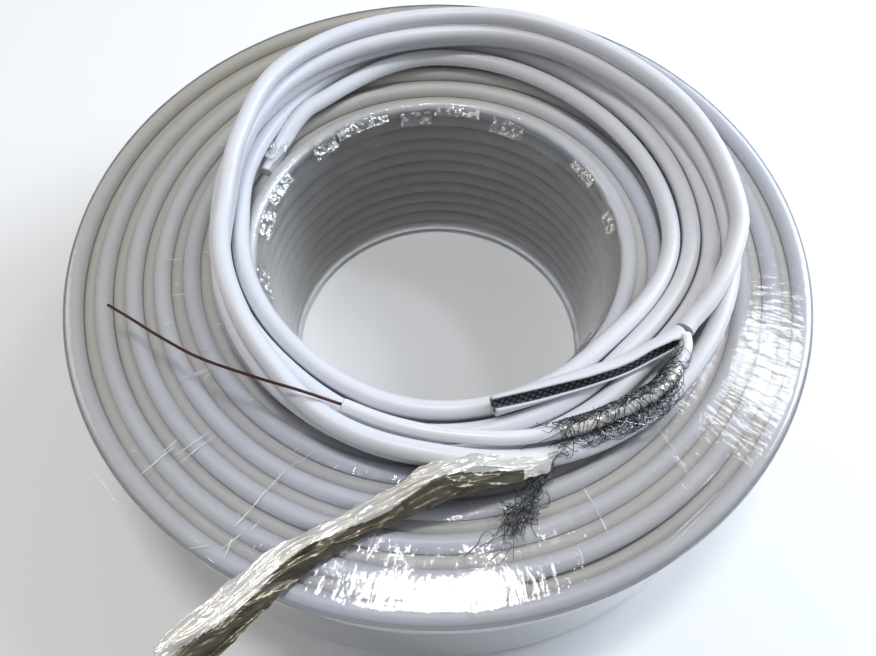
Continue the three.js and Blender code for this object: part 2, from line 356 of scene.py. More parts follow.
# %% [markdown]
# ## Finishes
#
# Most of the coil is white cable jacket. It is soft PVC, so it has a low sheen, a few scuffs and
# a slight change of tone along its length. One shader group makes that skin, and each material
# that uses it keeps its own Principled shader and its own values.

# %% A node group for worn cable skin
def build_skin_group():
    group = bpy.data.node_groups.new("cable_skin", "ShaderNodeTree")
    sockets = (
        ("Clean Colour", "NodeSocketColor"),
        ("Shade Colour", "NodeSocketColor"),
        ("Patch Scale", "NodeSocketFloat"),
        ("Scuff Amount", "NodeSocketFloat"),
        ("Roughness", "NodeSocketFloat"),
    )
    for label, kind in sockets:
        group.interface.new_socket(label, in_out="INPUT", socket_type=kind)
    given_sockets = (
        ("Colour", "NodeSocketColor"),
        ("Roughness", "NodeSocketFloat"),
        ("Height", "NodeSocketFloat"),
    )
    for label, kind in given_sockets:
        group.interface.new_socket(label, in_out="OUTPUT", socket_type=kind)
    nodes, links = group.nodes, group.links
    asked, given = nodes.new("NodeGroupInput"), nodes.new("NodeGroupOutput")
    place = nodes.new("ShaderNodeTexCoord")
    patches = add_node(nodes, "ShaderNodeTexNoise", {"Detail": 3.0})
    grain = add_node(nodes, "ShaderNodeTexNoise", {"Scale": 900.0, "Detail": 2.0})
    scuffs = add_node(nodes, "ShaderNodeTexNoise", {"Scale": 160.0, "Detail": 5.0})
    for texture in (patches, grain, scuffs):
        connect(links, (place, "Object", texture, "Vector"))
    connect(links, (asked, "Patch Scale", patches, "Scale"))
    tone = add_node(nodes, "ShaderNodeMapRange", {"From Min": 0.35, "From Max": 0.7})
    connect(links, (patches, "Fac", tone, "Value"))
    colour = add_node(nodes, "ShaderNodeMix", data_type="RGBA")
    connect(
        links,
        (tone, "Result", colour, "Factor"), (asked, "Clean Colour", colour, "A"),
        (asked, "Shade Colour", colour, "B"),
    )
    marks = add_node(nodes, "ShaderNodeMapRange", {"From Min": 0.62, "From Max": 0.8})
    connect(links, (scuffs, "Fac", marks, "Value"))
    amount = add_node(nodes, "ShaderNodeMath", operation="MULTIPLY")
    connect(links, (marks, "Result", amount, 0), (asked, "Scuff Amount", amount, 1))
    dirty = add_node(
        nodes, "ShaderNodeMix", {"B": (0.72, 0.69, 0.64, 1)}, data_type="RGBA", blend_type="MULTIPLY"
    )
    connect(links, (amount, 0, dirty, "Factor"), (colour, "Result", dirty, "A"))
    rough = add_node(nodes, "ShaderNodeMath", {1: 0.25}, operation="MULTIPLY_ADD")
    connect(
        links,
        (amount, 0, rough, 0), (asked, "Roughness", rough, 2), (dirty, "Result", given, "Colour"),
        (rough, 0, given, "Roughness"), (grain, "Fac", given, "Height"),
    )
    return group


skin_group = build_skin_group()
print("skin group outputs:", [s.name for s in skin_group.interface.items_tree if s.in_out == "OUTPUT"])


# %% Start a material
def new_finish(name):
    """A material with its Principled shader."""
    material = bpy.data.materials.new(name)
    material.use_nodes = True
    nodes, links = material.node_tree.nodes, material.node_tree.links
    return material, nodes, links, nodes["Principled BSDF"]


def skin_finish(name, clean, shade, patch_scale, scuff, roughness, bump=0.04):
    """White plastic with the worn cable skin."""
    material, nodes, links, shader = new_finish(name)
    skin = add_node(
        nodes,
        "ShaderNodeGroup",
        {
            "Clean Colour": (*clean, 1), "Shade Colour": (*shade, 1),
            "Patch Scale": patch_scale, "Scuff Amount": scuff, "Roughness": roughness,
        },
        node_tree=skin_group,
    )
    relief = add_node(nodes, "ShaderNodeBump", {"Strength": bump, "Distance": 0.0002})
    connect(
        links,
        (skin, "Colour", shader, "Base Color"), (skin, "Roughness", shader, "Roughness"),
        (skin, "Height", relief, "Height"), (relief, "Normal", shader, "Normal"),
    )
    return material


jacket_finish = skin_finish("white_jacket", (0.74, 0.75, 0.80), (0.70, 0.69, 0.69), 9.0, 0.35, 0.36)
dielectric_finish = skin_finish("foamed_white", (0.80, 0.81, 0.84), (0.78, 0.77, 0.77), 30.0, 0.1, 0.3, 0.02)
print("jacket and dielectric finishes ready")

# %% [markdown]
# ## The finish of the wound turns
#
# The wound turns are the same cable, seen through film. Every second turn lies lower, in the
# valley between its neighbours, where it is in shade; that shade is painted into its colour as
# a warmer, duller grey. Each turn carries a number, its tone, and the material blends from cool
# white to the warm grey painted shade by it. A tone above 1 goes on into a dark grey-green, a
# painted shade for the shaded walls of the ring. The back-left side of the ring gets a warm
# painted shade as well.

# %% Wound turn finish
def wound_finish():
    material, nodes, links, shader = new_finish("wound_jacket")
    skin = add_node(
        nodes,
        "ShaderNodeGroup",
        {
            "Clean Colour": (0.76, 0.79, 0.88, 1), "Shade Colour": (0.76, 0.75, 0.75, 1),
            "Patch Scale": 7.0, "Scuff Amount": 0.4, "Roughness": 0.42,
        },
        node_tree=skin_group,
    )
    # Painted shade: the tone multiplies the low turns in the valleys, and the walls of the ring, to a warm,
    # duller grey.
    tone = add_node(nodes, "ShaderNodeAttribute", attribute_name="tone")
    painted_shade_tint = add_node(
        nodes, "ShaderNodeMix", {"B": (0.86, 0.81, 0.72, 1)}, data_type="RGBA", blend_type="MULTIPLY"
    )
    # Painted shade: a gradient across the ring multiplies its back-left side to a warmer, darker grey.
    place = nodes.new("ShaderNodeTexCoord")
    lean = add_node(nodes, "ShaderNodeVectorMath", {1: (-3.4, 3.0, -1.0)}, operation="DOT_PRODUCT")
    side = add_node(nodes, "ShaderNodeMapRange", {"From Min": -0.25, "From Max": 0.55})
    corner = add_node(
        nodes, "ShaderNodeMix", {"B": (0.86, 0.82, 0.70, 1)}, data_type="RGBA", blend_type="MULTIPLY"
    )
    relief = add_node(nodes, "ShaderNodeBump", {"Strength": 0.05, "Distance": 0.0002})
    connect(
        links,
        (skin, "Colour", painted_shade_tint, "A"), (tone, "Fac", painted_shade_tint, "Factor"), (place, "Object", lean, 0),
        (lean, "Value", side, "Value"),
    )
    # Painted shade: a tone above 1 darkens the walls of the ring further, to a dark grey-green.
    deep = add_node(nodes, "ShaderNodeMapRange", {"From Min": 1.0, "From Max": 1.4})
    wall_painted_shade = add_node(
        nodes, "ShaderNodeMix", {"B": (0.42, 0.45, 0.42, 1)}, data_type="RGBA", blend_type="MULTIPLY"
    )
    connect(
        links,
        (tone, "Fac", deep, "Value"), (deep, "Result", wall_painted_shade, "Factor"), (painted_shade_tint, "Result", wall_painted_shade, "A"),
        (side, "Result", corner, "Factor"), (wall_painted_shade, "Result", corner, "A"),
        (corner, "Result", shader, "Base Color"), (skin, "Roughness", shader, "Roughness"),
        (skin, "Height", relief, "Height"), (relief, "Normal", shader, "Normal"),
    )
    return material


wound_jacket = wound_finish()
print("wound turns finish ready")

# %% [markdown]
# ## The loose cable
#
# Four loose turns lie on the film, some beside and some on each other. The cable is a fixed
# length, so it is one curve with a round bevel, and its line runs through the same rows of
# angle, radius and lift as its solid. Where the loose turns begin, the cable dips through the
# film between the wound turns.

# %% Route of the loose cable
loose_route = [
    (130, 86.0, 0), (90, 97.5, 0), (45, 92.5, 0), (0, 89.5, 0), (-45, 76.5, 0), (-90, 75.5, 0),
    (-135, 72.0, 0), (-180, 76.0, 0), (-202, 83.0, 0), (-225, 91.0, 0), (-270, 106.5, 0),
    (-315, 102.5, 0), (-360, 97.3, 0), (-405, 83.9, 0), (-450, 84.0, 0), (-495, 79.2, 0),
    (-540, 84.6, 0), (-562, 89.0, 4.5), (-585, 92.4, 7.0), (-630, 102.0, 6.1), (-652, 105.5, 7.0),
    (-675, 107.2, 5.4), (-697, 107.0, 2.4), (-720, 104.6, 0), (-765, 91.2, 0), (-810, 91.2, 0),
    (-832, 88.6, 1.1), (-855, 85.6, 4.1), (-877, 82.4, 7.1), (-900, 80.5, 6.2), (-922, 84.0, 10.5),
    (-945, 89.8, 13.9), (-990, 98.0, 12.0), (-1012, 101.5, 12.9), (-1035, 103.8, 11.8),
    (-1057, 108.0, 9.3), (-1080, 110.0, 4.9), (-1125, 103.8, 0.1), (-1147, 99.5, 2.5),
    (-1163, 95.4, 5.9), (-1170, 93.4, 6.9), (-1192, 89.4, 8.0), (-1215, 82.6, 10.8),
    (-1237, 79.8, 14.1), (-1260, 79.2, 13.2), (-1282, 82.8, 17.5), (-1305, 91.4, 20.8),
    (-1350, 102.8, 17.3), (-1372, 105.2, 18.9), (-1395, 107.0, 18.1), (-1417, 110.5, 16.0),
    (-1440, 111.4, 12.0), (-1451, 107.0, 10.7), (-1462, 101.5, 8.3), (-1470, 97.5, 7.0),
]
dip_rows = [
    (154, 79.5, -7.4), (151, 80.2, -7.1), (148, 81.0, -6.2), (145, 81.9, -5.0), (142, 82.7, -3.7),
    (139, 83.6, -2.4), (136, 84.5, -1.2), (133, 85.3, -0.4),
]
loose_points = [polar(turn, radius * MM, rest_height + lift * MM) for turn, radius, lift in dip_rows]
angle = loose_route[0][0]
while angle > loose_route[-1][0]:
    radius, lift = read_route(loose_route, angle)
    loose_points.append(polar(angle, radius, rest_height + lift))
    angle -= 2.5
radius, lift = read_route(loose_route, loose_route[-1][0])
loose_points.append(polar(loose_route[-1][0], radius, rest_height + lift))

# %% Loose cable as a round curve
loose_data = bpy.data.curves.new("loose_cable", "CURVE")
loose_data.dimensions = "3D"
loose_data.bevel_depth = cable_radius
loose_data.bevel_resolution = 6
loose_data.use_fill_caps = True
line = loose_data.splines.new("POLY")
line.points.add(len(loose_points) - 1)
for at, point in enumerate(loose_points):
    line.points[at].co = (*point, 1.0)
    line.points[at].radius = 1.0
line.use_smooth = True
loose_data.materials.append(jacket_finish)
loose_cable = bpy.data.objects.new("loose_cable", loose_data)
scene.collection.objects.link(loose_cable)
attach(loose_cable, "root")
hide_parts("loose_turns")
print("loose cable made")

# %% [markdown]
# ## The wound turns
#
# The coil is a stack of rings that nest in each other's valleys. Only the turns on the outside
# show, so the paths are one ring for each layer on top and underneath, and one for each turn on
# the outer wall and in the bore. A real winder lets the turns wander by a fraction of a
# millimetre, and here and there a low turn dives under its neighbours.

# %% Paths of the wound turns
turn_pitch = (coil_height - cable_diameter) / (turns_high - 1)
nest_drop = 3.3 * MM
ring_steps = 144


def wandering(seed, angle, amount):
    """A slow, closed wander of a ring, different for each seed."""
    turn = math.radians(angle)
    value = math.sin(turn + seed * 1.7) * 0.5
    value += math.sin(2 * turn + seed * 2.9) * 0.3
    value += math.sin(3 * turn + seed * 4.3) * 0.2
    return value * amount


def dive(angle, centre, half_width):
    """1 in the middle of a stretch of a ring, falling smoothly to 0 at its ends."""
    away = abs((angle - centre + 180) % 360 - 180)
    return 0.5 + 0.5 * math.cos(math.pi * away / half_width) if away < half_width else 0.0


def ring(radius_at, height_at):
    points = []
    for step in range(ring_steps):
        angle = 360 * step / ring_steps
        points.append(polar(angle, radius_at(angle), height_at(angle)))
    return points


# Painted shade: each ring's tone is how much shade is painted into its colour: 0.85 for low turns in the
# valleys, 1.3 for the outer wall, 1.1 for the bore wall, none for high turns.
ring_paths, ring_painted_shade = [], []
for layer in range(layers_across):
    low = layer % 2 == 1
    radius = coil_outer_radius - cable_radius - layer * layer_pitch_top
    height = coil_height - cable_radius - (nest_drop if low else 0.15 * MM)
    edge = layer in (0, layers_across - 1)
    sway = 0.0 if edge else 0.35 * MM
    sink = 2.2 * MM if layer == 1 else 0.0
    bob = 0.25 * MM if low else 0.0
    ring_paths.append(
        ring(
            lambda a: radius + wandering(layer, a, sway),
            lambda a: height + (wandering(layer + 20, a, bob) - bob) - sink * dive(a, -65, 38),
        )
    )
    ring_painted_shade.append(0.85 if low else 0.0)
for layer in range(layers_across):
    low = layer % 2 == 1
    radius = coil_outer_radius - cable_radius - layer * layer_pitch_bottom
    height = cable_radius + (nest_drop if low else 0.0)
    ring_paths.append(ring(lambda a: radius, lambda a: height))
    ring_painted_shade.append(0.85 if low else 0.0)
for turn in range(1, turns_high - 1):
    height = cable_radius + turn * turn_pitch
    share = turn / (turns_high - 1)
    bore = bore_radius_bottom + (bore_radius_top - bore_radius_bottom) * share + cable_radius
    outer = coil_outer_radius - cable_radius
    ring_paths.append(ring(lambda a: outer - abs(wandering(turn, a, 0.3 * MM)), lambda a: height))
    ring_painted_shade.append(1.3)
    ring_paths.append(ring(lambda a: bore + abs(wandering(turn + 9, a, 0.4 * MM)), lambda a: height))
    ring_painted_shade.append(1.1)
print("wound rings:", len(ring_paths))

# %% Sweep the wound turns
wound_turns = sweep_paths(
    "wound_turns", ring_paths, wound_diameter, 12, wound_jacket, closed=True, tones=ring_painted_shade
)
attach(wound_turns, "root")
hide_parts("wound_coil")

# %% [markdown]
# ## The stretch film
#
# Clear film is pulled tight round the ring. It lies on the high turns, sags a little over the low
# ones, rounds the outer corner and runs down the bore. Film is nearly invisible: what the eye
# sees is its gloss and the white of its creases. So its material is see-through with a thin
# mirror on it, and gets whiter only where the film is creased. That white is partly the real
# whitening of a crease and partly a painted glint along it.

# %% Film finish
def film_finish():
    material, nodes, links, shader = new_finish("clear_film")
    place = add_node(nodes, "ShaderNodeUVMap", uv_map="film_uv")
    slant = add_node(
        nodes, "ShaderNodeMapping", {"Rotation": (0, 0, math.radians(24)), "Scale": (300, 26, 1)}
    )
    connect(links, (place, "UV", slant, "Vector"))
    folds = add_node(nodes, "ShaderNodeTexNoise", {"Scale": 1.0, "Detail": 4.0})
    connect(links, (slant, "Vector", folds, "Vector"))
    broad = add_node(nodes, "ShaderNodeMapping", {"Scale": (22, 40, 1)})
    connect(links, (place, "UV", broad, "Vector"))
    patches = add_node(nodes, "ShaderNodeTexNoise", {"Scale": 1.0, "Detail": 2.0})
    connect(links, (broad, "Vector", patches, "Vector"))
    # Painted glint: where the crease mask is high the film turns white, partly as the real whitening of a
    # crease and partly as a glint painted along it.
    ridge = add_node(nodes, "ShaderNodeMapRange", {"From Min": 0.66, "From Max": 0.74})
    connect(links, (folds, "Fac", ridge, "Value"))
    where = add_node(nodes, "ShaderNodeMapRange", {"From Min": 0.5, "From Max": 0.66})
    connect(links, (patches, "Fac", where, "Value"))
    crease = add_node(nodes, "ShaderNodeMath", operation="MULTIPLY")
    connect(links, (ridge, "Result", crease, 0), (where, "Result", crease, 1))
    haze = add_node(nodes, "ShaderNodeAttribute", attribute_name="haze")
    milk_and_painted_glint = add_node(nodes, "ShaderNodeMath", {1: 0.5}, operation="MULTIPLY_ADD", use_clamp=True)
    connect(links, (crease, 0, milk_and_painted_glint, 0), (haze, "Fac", milk_and_painted_glint, 2))
    relief = add_node(nodes, "ShaderNodeBump", {"Strength": 0.3, "Distance": 0.0006})
    connect(links, (folds, "Fac", relief, "Height"))
    shader.inputs["Base Color"].default_value = (0.93, 0.95, 0.98, 1)
    shader.inputs["Roughness"].default_value = 0.3
    gloss = add_node(
        nodes,
        "ShaderNodeBsdfPrincipled",
        {"Base Color": (0.95, 0.97, 1.0, 1), "Metallic": 1.0, "Roughness": 0.06},
    )
    connect(links, (relief, "Normal", gloss, "Normal"))
    clear = nodes.new("ShaderNodeBsdfTransparent")
    edge = add_node(nodes, "ShaderNodeFresnel", {"IOR": 1.42})
    connect(links, (relief, "Normal", edge, "Normal"))
    shine = add_node(nodes, "ShaderNodeMath", {1: 1.3}, operation="MULTIPLY", use_clamp=True)
    connect(links, (edge, "Fac", shine, 0))
    body = nodes.new("ShaderNodeMixShader")
    connect(links, (milk_and_painted_glint, 0, body, "Fac"), (clear, "BSDF", body, 1), (shader, "BSDF", body, 2))
    skin = nodes.new("ShaderNodeMixShader")
    connect(
        links,
        (shine, 0, skin, "Fac"), (body, "Shader", skin, 1), (gloss, "BSDF", skin, 2),
        (skin, "Shader", nodes["Material Output"], "Surface"),
    )
    return material


def film_back_finish():
    """The film's inner side, which only lets light through."""
    material, nodes, links, shader = new_finish("clear_film_back")
    place = nodes.new("ShaderNodeTexCoord")
    cloud = add_node(nodes, "ShaderNodeTexNoise", {"Scale": 35.0})
    connect(links, (place, "Object", cloud, "Vector"))
    faint = add_node(nodes, "ShaderNodeMapRange", {"To Min": 0.0, "To Max": 0.03})
    connect(links, (cloud, "Fac", faint, "Value"))
    clear = nodes.new("ShaderNodeBsdfTransparent")
    mixed = nodes.new("ShaderNodeMixShader")
    shader.inputs["Base Color"].default_value = (0.92, 0.94, 0.96, 1)
    shader.inputs["Roughness"].default_value = 0.4
    connect(
        links,
        (faint, "Result", mixed, "Fac"), (clear, "BSDF", mixed, 1), (shader, "BSDF", mixed, 2),
        (mixed, "Shader", nodes["Material Output"], "Surface"),
    )
    return material


clear_film = film_finish()
film_back = film_back_finish()
print("film finish ready")

# %% Shape of the film
film_around = 480


def film_sag(from_edge):
    """Depth to which the film dips between two high turns, at a distance in from the outer rim."""
    loosened = min(1.0, max(0.12, (from_edge - 16 * MM) / (20 * MM)))
    return 0.35 * MM * loosened * (0.5 - 0.5 * math.cos(from_edge / (2 * layer_pitch_top) * 2 * math.pi))


def film_profile():
    """Radius, height and haze of the film, from the outer hem over the top to the hem in the bore."""
    rows = []
    gap = 0.35 * MM
    outer, inner_top, inner_low = coil_outer_radius + gap, bore_radius_top - gap, bore_radius_bottom - gap
    top = coil_height + 0.3 * MM
    hem = 3.0 * MM
    for step in range(9):
        rows.append((outer, hem + (top - cable_radius - hem) * step / 9, 0.02))
    for step in range(6):
        turn = math.pi / 2 * step / 6
        inset, drop = 1 - math.cos(turn), 1 - math.sin(turn)
        rows.append((outer - cable_radius * inset, top - cable_radius * drop, 0.03))
    flat_from, flat_to = outer - cable_radius, inner_top + cable_radius
    for step in range(31):
        radius = flat_from + (flat_to - flat_from) * step / 30
        rows.append((radius, top - film_sag(flat_from - radius), 0.015))
    for step in range(1, 7):
        turn = math.pi / 2 * step / 6
        inset, drop = math.sin(turn), 1 - math.cos(turn)
        rows.append((flat_to - cable_radius * inset, top - cable_radius * drop, 0.05))
    for step in range(1, 12):
        share = step / 11
        radius = inner_top + (inner_low - inner_top) * share
        rows.append((radius, (top - cable_radius) * (1 - share) + hem * share, 0.07))
    return rows


profile = film_profile()
lengths = [0.0]
for a, b in zip(profile, profile[1:]):
    lengths.append(lengths[-1] + math.hypot(b[0] - a[0], b[1] - a[1]))
print("film profile points:", len(profile), "length in mm:", round(lengths[-1] / MM, 1))

# %% Film mesh
film_places, film_faces, film_haze = [], [], []
for at, (radius, height, haze) in enumerate(profile):
    for step in range(film_around):
        angle = 360 * step / film_around
        turn = math.radians(angle)
        spot = Vector((math.cos(turn) * 9, math.sin(turn) * 9, lengths[at] * 60))
        ripple = noise.noise(spot) * 0.12 * MM
        at_rim = max(0.0, 1 - abs(radius - bore_radius_top) / (7 * MM)) if height > 0.6 * coil_height else 0.0
        crumple = noise.noise(Vector((angle * 0.35, lengths[at] * 260, 3.1))) * 0.55 * MM * at_rim
        inwards = 1.0 if height < coil_height - cable_radius and radius < 0.1 else 0.0
        pulled_in = radius - inwards * (ripple + 0.1 * MM) - crumple * 0.5
        raised = height + (ripple if not inwards else 0) + abs(crumple)
        film_places.append(polar(angle, pulled_in, raised))
        cloud = noise.noise(Vector((angle * 0.11, lengths[at] * 90, 8.0)))
        film_haze.append(haze + 0.35 * max(0.0, cloud - 0.15) * at_rim)
for row in range(len(profile) - 1):
    for step in range(film_around):
        a, b = row * film_around + step, row * film_around + (step + 1) % film_around
        film_faces.append((a, b, b + film_around, a + film_around))
film = mesh_piece("stretch_wrap", film_places, film_faces, clear_film)
film.data.attributes.new("haze", "FLOAT", "POINT").data.foreach_set("value", film_haze)
film_uv = film.data.uv_layers.new(name="film_uv")
for polygon in film.data.polygons:
    for loop, vertex in zip(polygon.loop_indices, polygon.vertices):
        row, step = divmod(vertex, film_around)
        if step == 0 and any(v % film_around == film_around - 1 for v in polygon.vertices):
            step = film_around
        film_uv.data[loop].uv = (step / film_around, lengths[row] / lengths[-1])
film.data.materials.append(film_back)
wall = film.modifiers.new("film_wall", "SOLIDIFY")
wall.thickness = film_thickness
wall.offset = -1.0
wall.material_offset = 1
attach(film, "root")
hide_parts("stretch_film")
print("film triangles:", triangles(film))

# %% [markdown]
# ## Creases in the film
#
# Where the film was pulled hard it keeps thin white creases that run straight across the turns.
# They are real ridges, so they are thin swept lines lying in the film, listed by their two ends.
# Their white is partly the creases' own whitening and partly a painted glint.

# %% Crease lines
crease_rows = [
    (-104.9, -11.3, -97.7, -11.0), (-97.7, -7.6, -95.7, -7.6), (-90.4, -7.6, -87.8, -7.6),
    (-98.7, -22.3, -96.8, -22.4), (-93.3, -24.1, -91.8, -24.1), (-100.0, -27.3, -91.3, -26.8),
    (-89.5, -38.5, -87.3, -36.6), (-80.7, -40.2, -76.1, -39.3), (-78.0, -49.7, -72.6, -48.0),
    (-84.2, -50.5, -80.7, -49.9), (-89.9, -62.6, -78.9, -56.9), (-88.2, -62.6, -78.7, -57.7),
    (-82.4, -62.6, -78.8, -59.2), (-96.0, -96.3, -86.7, -86.4), (-90.4, -88.7, -86.0, -83.9),
    (-86.1, -89.9, -76.2, -81.5), (-84.2, -92.2, -74.1, -82.8), (-45.4, -91.9, -40.1, -87.9),
    (-48.9, -94.2, -45.4, -91.5), (-56.6, -103.7, -48.9, -94.2), (-59.1, -107.6, -55.3, -102.2),
    (-63.3, -113.1, -59.1, -107.6), (-66.5, -120.1, -60.9, -115.2), (-65.3, -122.6, -63.5, -116.6),
    (-65.0, -118.8, -60.9, -115.1), (-58.2, -114.5, -55.8, -111.1), (-56.7, -120.0, -56.3, -118.8),
    (-54.7, -119.3, -54.0, -118.1), (-20.9, -119.4, -19.4, -114.5), (-30.1, -119.4, -29.2, -122.0),
    (-15.1, -96.9, -13.2, -98.0), (13.4, -121.4, 14.2, -118.8), (73.1, -79.5, 77.4, -87.6),
    (77.4, -87.6, 81.1, -96.7), (46.3, -100.2, 50.0, -107.7), (50.0, -107.7, 52.7, -115.5),
    (43.0, -119.3, 44.0, -123.0), (71.5, -117.1, 89.7, -102.0), (69.3, -120.9, 81.9, -110.1),
    (84.5, -100.2, 91.2, -94.2), (97.2, -51.2, 99.7, -53.5), (93.8, -58.0, 96.0, -60.4),
    (99.0, -62.9, 100.3, -63.5), (107.3, -58.4, 109.3, -60.4), (112.1, -62.9, 113.8, -63.2),
    (80.7, 1.3, 84.1, 0.8), (-76.5, -119.7, -69.9, -118.8), (-75.4, -116.9, -73.0, -118.5),
    (-70.9, -122.0, -67.8, -124.1), (-111.8, -94.9, -108.9, -97.6), (-108.4, -98.2, -105.5, -101.2),
    (-104.1, -103.1, -102.0, -105.4),
]


def crease_finish():
    material, nodes, links, shader = new_finish("film_crease_white_and_glint")
    place = nodes.new("ShaderNodeTexCoord")
    breaks = add_node(nodes, "ShaderNodeTexNoise", {"Scale": 700.0})
    connect(links, (place, "Object", breaks, "Vector"))
    # Painted glint: the crease lines are white, partly from their own whitening and partly as a glint painted
    # along them.
    shade = add_node(
        nodes, "ShaderNodeMix", {"A": (0.82, 0.84, 0.86, 1), "B": (0.97, 0.97, 0.97, 1)}, data_type="RGBA"
    )
    connect(links, (breaks, "Fac", shade, "Factor"), (shade, "Result", shader, "Base Color"))
    shader.inputs["Roughness"].default_value = 0.2
    return material


film_crease = crease_finish()
chance = random.Random(11)
crease_paths, crease_widths = [], []
for x0, y0, x1, y1 in crease_rows:
    steps = max(4, int(math.hypot(x1 - x0, y1 - y0) / 1.2))
    path, width = [], []
    for step in range(steps + 1):
        share = step / steps
        x, y = (x0 + (x1 - x0) * share) * MM, (y0 + (y1 - y0) * share) * MM
        from_edge = coil_outer_radius - cable_radius - math.hypot(x, y)
        sag = film_sag(from_edge)
        path.append(Vector((x + chance.uniform(-0.1, 0.1) * MM, y, coil_height + 0.38 * MM - sag)))
        width.append((0.35 + 0.65 * math.sin(math.pi * share)) * chance.uniform(0.5, 1.1))
    crease_paths.append(path)
    crease_widths.append(width)
film_creases = sweep_paths("film_creases", crease_paths, 0.34 * MM, 5, film_crease, thick=crease_widths)
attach(film_creases, "root")

# %% [markdown]
# ## Crumpled film in the bore
#
# Inside the bore the film has too much width, so it bunches at the rim and hangs in small lips.
# Each bunch is a little sheet with sharp folds pressed into it. It is glossier and whiter than
# the tight film, and it catches the lamps in bright specks. The whiter folds are partly the
# film's own whitening and partly painted glints.

# %% Crumpled film finish
def crinkle_finish():
    material, nodes, links, shader = new_finish("film_crinkle")
    place = nodes.new("ShaderNodeTexCoord")
    folds = add_node(nodes, "ShaderNodeTexNoise", {"Scale": 420.0, "Detail": 5.0})
    connect(links, (place, "Object", folds, "Vector"))
    relief = add_node(nodes, "ShaderNodeBump", {"Strength": 0.5, "Distance": 0.0006})
    connect(links, (folds, "Fac", relief, "Height"))
    # Painted glint: the folds are whitened, partly as the film's own whitening and partly as painted glints.
    white = add_node(nodes, "ShaderNodeMapRange", {"From Min": 0.5, "From Max": 0.68, "To Max": 0.75})
    connect(links, (folds, "Fac", white, "Value"))
    shader.inputs["Base Color"].default_value = (0.95, 0.95, 0.92, 1)
    shader.inputs["Roughness"].default_value = 0.15
    connect(links, (relief, "Normal", shader, "Normal"))
    gloss = add_node(
        nodes, "ShaderNodeBsdfPrincipled", {"Base Color": (1, 1, 1, 1), "Metallic": 1.0, "Roughness": 0.1}
    )
    connect(links, (relief, "Normal", gloss, "Normal"))
    clear = nodes.new("ShaderNodeBsdfTransparent")
    body, skin = nodes.new("ShaderNodeMixShader"), nodes.new("ShaderNodeMixShader")
    connect(links, (white, "Result", body, "Fac"), (clear, "BSDF", body, 1), (shader, "BSDF", body, 2))
    skin.inputs["Fac"].default_value = 0.16
    connect(
        links,
        (body, "Shader", skin, 1), (gloss, "BSDF", skin, 2),
        (skin, "Shader", nodes["Material Output"], "Surface"),
    )
    return material


film_crinkle = crinkle_finish()
print("crumpled film finish ready")

# %% Bunches of film at the bore rim
# Each row: angle, radius and height of its middle, width, length, lean from upright, depth of folds
bunch_rows = [
    (64, 69.2, 79.5, 15, 9, 35, 1.5), (83, 70.2, 82.0, 20, 6, 50, 1.0),
    (98, 69.6, 79.0, 14, 8, 30, 1.1), (118, 70.4, 81.5, 24, 7, 50, 1.2),
    (134, 69.8, 80.0, 12, 8, 35, 1.2), (147, 80.5, 85.6, 12, 10, 86, 1.0),
    (158, 70.3, 81.0, 16, 7, 45, 1.3), (172, 69.8, 80.0, 14, 9, 35, 1.2),
    (196, 69.6, 78.0, 16, 10, 25, 1.2), (30, 70.0, 81.0, 14, 6, 45, 0.9),
    (8, 69.6, 80.0, 10, 7, 40, 1.0), (-38, 69.0, 70.0, 12, 14, 8, 1.6),
    (-52, 68.2, 66.0, 10, 12, 8, 1.4),
]
bunch_places, bunch_faces = [], []
for number, (turn_at, radius, height, wide_mm, long_mm, lean_deg, deep) in enumerate(bunch_rows):
    middle = polar(turn_at, radius * MM, height * MM)
    outwards = polar(turn_at, 1.0, 0.0)
    round_way = Vector((0, 0, 1)).cross(outwards)
    lean = math.radians(lean_deg)
    up_way = Vector((0, 0, 1)) * math.cos(lean) + outwards * math.sin(lean)
    out_way = round_way.cross(up_way)
    if out_way.dot(outwards) > 0:
        out_way = -out_way
    columns, lines = 40, 24
    bunch_faces.extend(slab_faces(lines, columns, len(bunch_places))[0])
    for side_step in (0, 1):
        for row in range(lines + 1):
            for column in range(columns + 1):
                u, v = column / columns * 2 - 1, row / lines * 2 - 1
                shrink = 1 - 0.35 * abs(noise.noise(Vector((number * 7.1, u * 2.2, 5)))) - 0.25 * v * v
                bend_in = (1 - math.cos(u * wide_mm / 2 / radius)) * radius
                spot = Vector((u * wide_mm * 0.32 + v * 0.6, v * long_mm * 0.14, number * 3.3))
                fold = (1 - abs(noise.noise(spot)) * 2.4) * deep * 0.5
                fold = fold + abs(noise.noise(spot * 2.7)) * deep * 0.35
                lift = (0.35 + max(0.0, fold) * (1 - u**8)) * MM
                place = middle + round_way * (u * wide_mm / 2 * MM) + up_way * (v * long_mm / 2 * shrink * MM)
                place = place - outwards * bend_in * MM + out_way * lift
                bunch_places.append(place - out_way * film_thickness * side_step)
film_bunches = mesh_piece("film_bunches", bunch_places, bunch_faces, film_crinkle)
face_outwards(film_bunches)
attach(film_bunches, "root")
print("film bunches:", len(bunch_rows), "triangles:", triangles(film_bunches))

# %% [markdown]
# ## The slit jacket
#
# At the stripped end the jacket was slit along its length and peeled off the core. It stays round,
# because PVC springs back, so it is a pipe wall with a gap. The gap opens sideways where the core
# comes out, and turns upwards towards the cut end. Inside it is grey, with the diamond print that
# the braid pressed into it.

